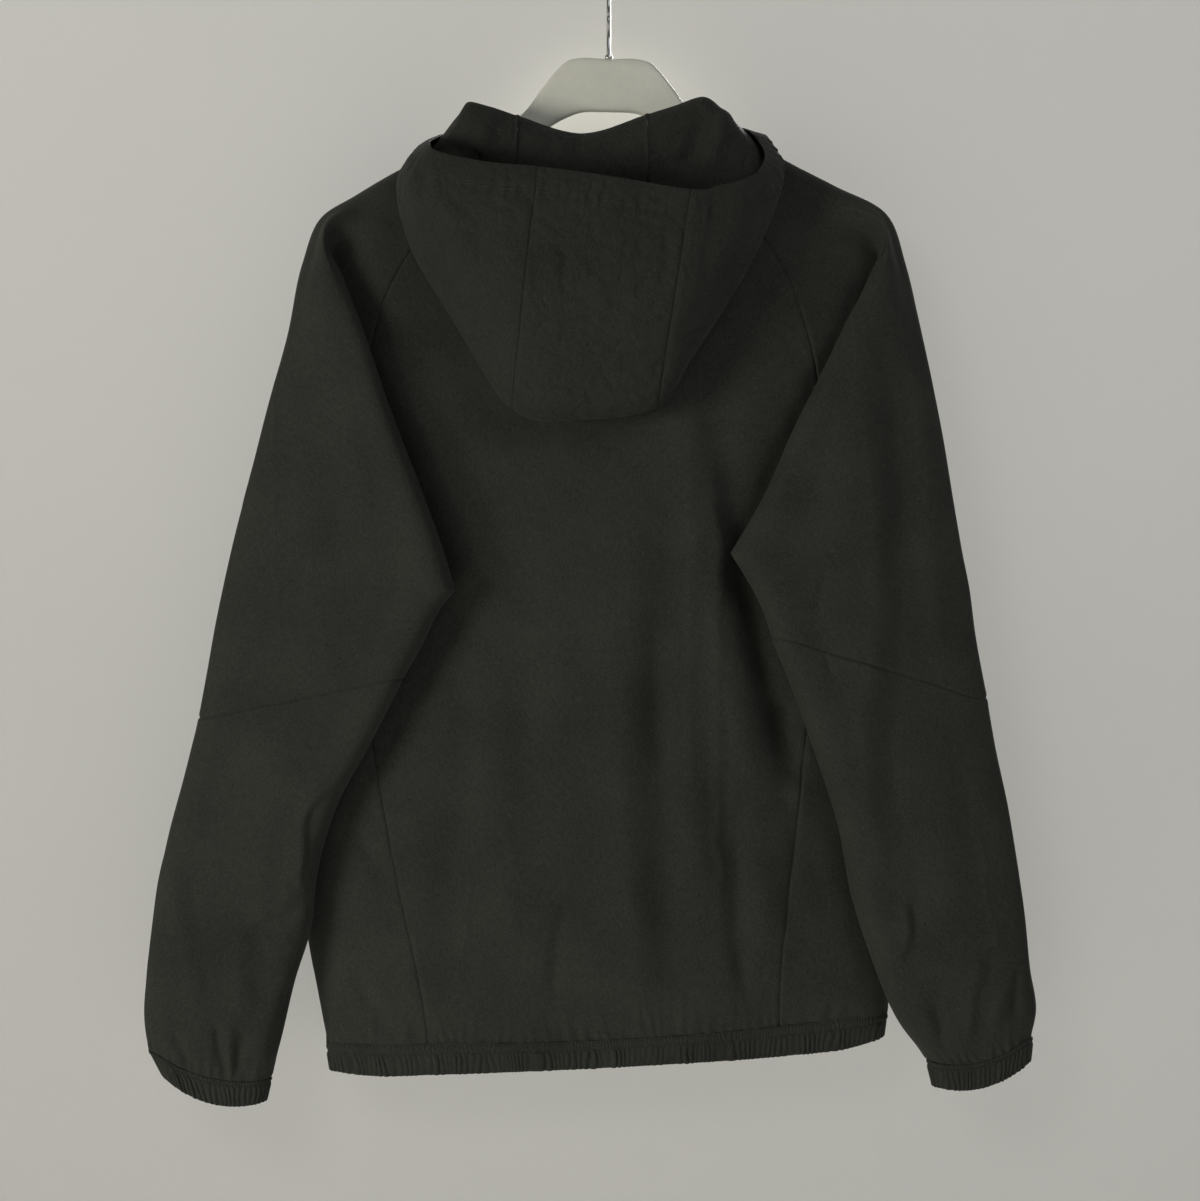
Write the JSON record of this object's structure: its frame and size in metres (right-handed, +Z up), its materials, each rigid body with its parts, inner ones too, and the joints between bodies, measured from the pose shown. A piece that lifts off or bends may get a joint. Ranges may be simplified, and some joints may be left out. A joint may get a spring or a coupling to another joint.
{
  "type": "hooded windbreaker jacket on a hanger",
  "caption": "Dark olive hooded raglan windbreaker with zipped front, gathered hem and cuffs, hanging flat on a pale moulded hanger with a steel hook.",
  "frame": {"origin": "where the hanger's hook rests on its rail", "axes": "+X to the right of someone who looks at the jacket's back, +Y out of its zipped front, +Z up"},
  "size_m": [0.702, 0.1427, 0.9029],
  "materials": {
    "shell_cloth": "matte plain-weave nylon",
    "gathered_cloth": "matte gathered nylon over elastic",
    "zip_tape": "woven tape with a moulded coil",
    "zip_metal": "dark lacquer",
    "hanger_plastic": "satin moulded plastic",
    "hook_steel": "bright wire"
  },
  "bodies": {
    "jacket_on_hanger": {"back_panel": "shell_cloth", "front_left": "shell_cloth", "front_right": "shell_cloth", "sleeve_upper_left": "shell_cloth", "sleeve_upper_right": "shell_cloth", "sleeve_lower_left": "shell_cloth", "sleeve_lower_right": "shell_cloth", "hood_centre": "shell_cloth", "hood_side_left": "shell_cloth", "hood_side_right": "shell_cloth", "hem_band": "gathered_cloth", "cuff_left": "gathered_cloth", "cuff_right": "gathered_cloth", "zip_tape_left": "zip_tape", "zip_tape_right": "zip_tape", "zip_chain": "zip_tape", "zip_slider": "zip_metal", "hanger": "hanger_plastic", "hook": "hook_steel"},
    "pull_tab": {"zip_pull": "zip_metal"}
  },
  "joints": [
    {"name": "pull_swing", "type": "hinge", "parent": "jacket_on_hanger", "child": "pull_tab", "pos_m": [-0.006, 0.0321, -0.258], "axis": [1, 0, 0], "range_deg": [0, 170]}
  ]
}
